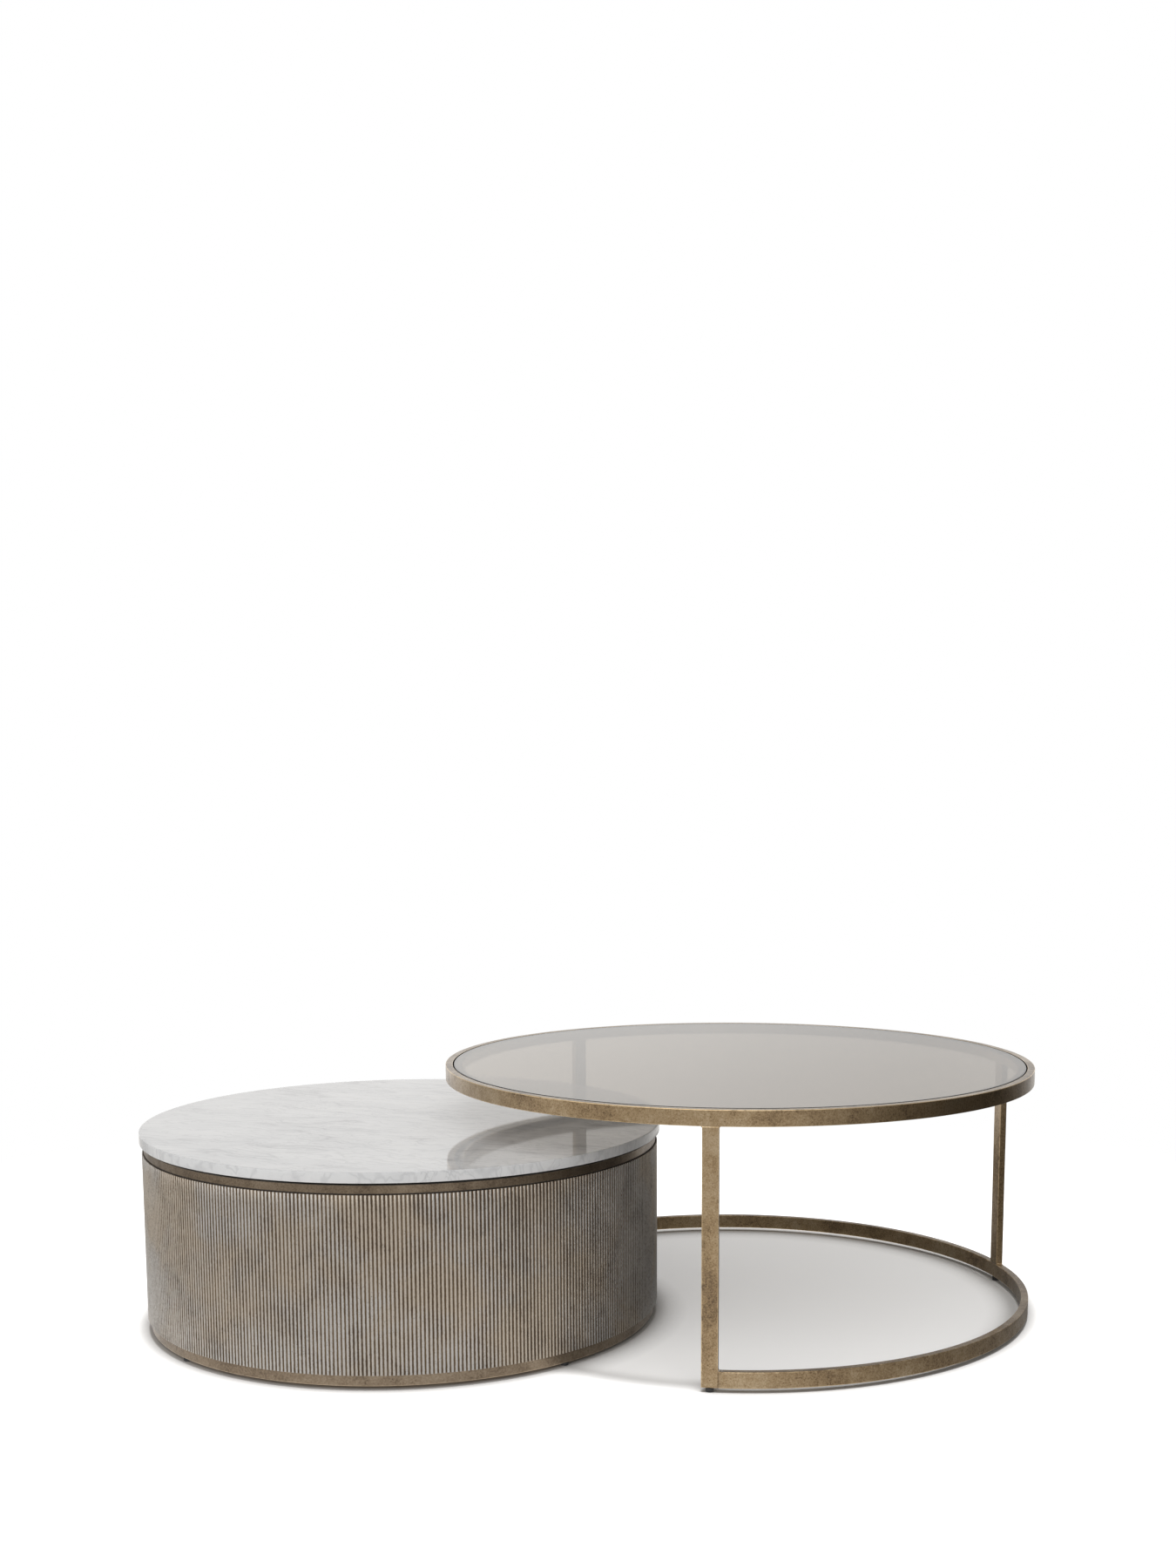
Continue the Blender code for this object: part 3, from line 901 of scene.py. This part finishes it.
def floor_glow(tree, coords):
    """Brightness of the floor as the table's metal sees it."""
    def away(centre):
        return put(tree, "ShaderNodeVectorMath",
                   {0: coords, 1: (centre.x, centre.y, 0.0)},
                   operation="DISTANCE").outputs["Value"]

    from_large = away(LARGE)
    gap = calc(tree, "MINIMUM", calc(tree, "SUBTRACT", from_large, FRAME_RADIUS),
               calc(tree, "SUBTRACT", away(DRUM), MARBLE_RADIUS))
    shaded = remap(tree, away(BACK_SPOT), 0.30, 0.75, 0.06, 1.0, smooth=True)
    level = calc(tree, "MULTIPLY", side_light(tree, coords), shaded)
    # Painted light: a brighter patch in front, and a glow near both tables.
    for distance, start, end, brightness in (
            (away(FRONT_SPOT), 0.15, 0.50, 0.25), (gap, 0.12, 0.36, 0.17)):
        patch = remap(tree, distance, start, end, brightness, 0.0, smooth=True)
        level = calc(tree, "ADD", level, patch)
    # Painted shadow of the glass inside the large table's ring, darker towards +X.
    inside = remap(tree, from_large, FRAME_RADIUS - 0.04, FRAME_RADIUS, 1.0, 0.0,
                   smooth=True)
    x = put(tree, "ShaderNodeSeparateXYZ", {0: coords}).outputs[0]
    return mix_value(tree, inside, level, remap(tree, x, -0.1, 0.3, 0.25, 0.105))


def build_floor():
    """Pale floor: the viewer sees it lit and shaded, the metal sees its glow."""
    mesh = bpy.data.meshes.new("studio_floor")
    corners = [(x * FLOOR_HALF, y * FLOOR_HALF, 0.0)
               for x, y in ((-1, -1), (1, -1), (1, 1), (-1, 1))]
    mesh.from_pydata(corners, [], [(0, 1, 2, 3)])
    floor = bpy.data.objects.new("studio_floor", mesh)
    bpy.context.scene.collection.objects.link(floor)

    mat, tree, coords = new_material("pale_floor")
    distance = put(tree, "ShaderNodeVectorMath", {0: coords},
                   operation="LENGTH").outputs["Value"]
    far = remap(tree, distance, 1.1, 1.9, smooth=True)
    grain = noise(tree, coords, 3.0, 2.0)
    shade = blend(tree, grain, (0.90, 0.90, 0.90), (0.91, 0.91, 0.91))
    # Painted contact shade from an ambient occlusion node: dark where the floor is close
    # under or beside a piece.
    open_sky = put(tree, "ShaderNodeAmbientOcclusion", {"Distance": 0.06},
                   samples=8).outputs["AO"]
    shade = blend(tree, remap(tree, open_sky, 0.32, 0.98), (0.32, 0.315, 0.31), shade)
    lit = put(tree, "ShaderNodeBsdfDiffuse", {"Color": shade}).outputs[0]
    level = floor_glow(tree, coords)
    through = seen_through_glass(tree)
    is_camera = put(tree, "ShaderNodeLightPath").outputs["Is Camera Ray"]
    distant = put(tree, "ShaderNodeEmission", {
        0: blend(tree, is_camera, FLOOR_TINT, WHITE),
        1: mix_value(tree, is_camera, calc(tree, "MAXIMUM", level, 0.85), 1.0),
    }).outputs[0]
    plain = put(tree, "ShaderNodeMixShader", {0: far, 1: lit, 2: distant}).outputs[0]
    soft = put(tree, "ShaderNodeEmission", {0: FLOOR_TINT, 1: level}).outputs[0]
    both = put(tree, "ShaderNodeMixShader", {
        0: calc(tree, "MAXIMUM", is_camera, through), 1: soft, 2: plain}).outputs[0]
    finish_material(tree, both)
    mesh.materials.append(mat)
    return floor


def build_lamp(floor):
    """Overhead lamp for the floor alone, which gives its soft-edged shadows."""
    data = bpy.data.lights.new("top_light", "SUN")
    data.angle = math.radians(LAMP_SPREAD)
    data.energy = LAMP_STRENGTH
    lamp = bpy.data.objects.new("top_light", data)
    lamp.rotation_euler = (math.radians(LAMP_LEAN), 0.0, 0.0)
    lamp.location = (0.0, 0.0, 3.0)
    bpy.context.scene.collection.objects.link(lamp)
    lit = bpy.data.collections.new("top_light_lights")
    lit.objects.link(floor)
    lamp.light_linking.receiver_collection = lit


def build_camera():
    data = bpy.data.cameras.new("camera")
    data.lens = CAMERA_LENS
    data.sensor_width = 36.0
    data.shift_x, data.shift_y = CAMERA_SHIFT
    camera = bpy.data.objects.new("camera", data)
    camera.location = CAMERA_PLACE
    camera.rotation_euler = (math.radians(90.0 + CAMERA_PITCH), 0.0,
                             math.radians(CAMERA_YAW))
    bpy.context.scene.collection.objects.link(camera)
    bpy.context.scene.camera = camera


bpy.context.scene.view_settings.view_transform = "Standard"
build_world()
build_lamp(build_floor())
build_camera()
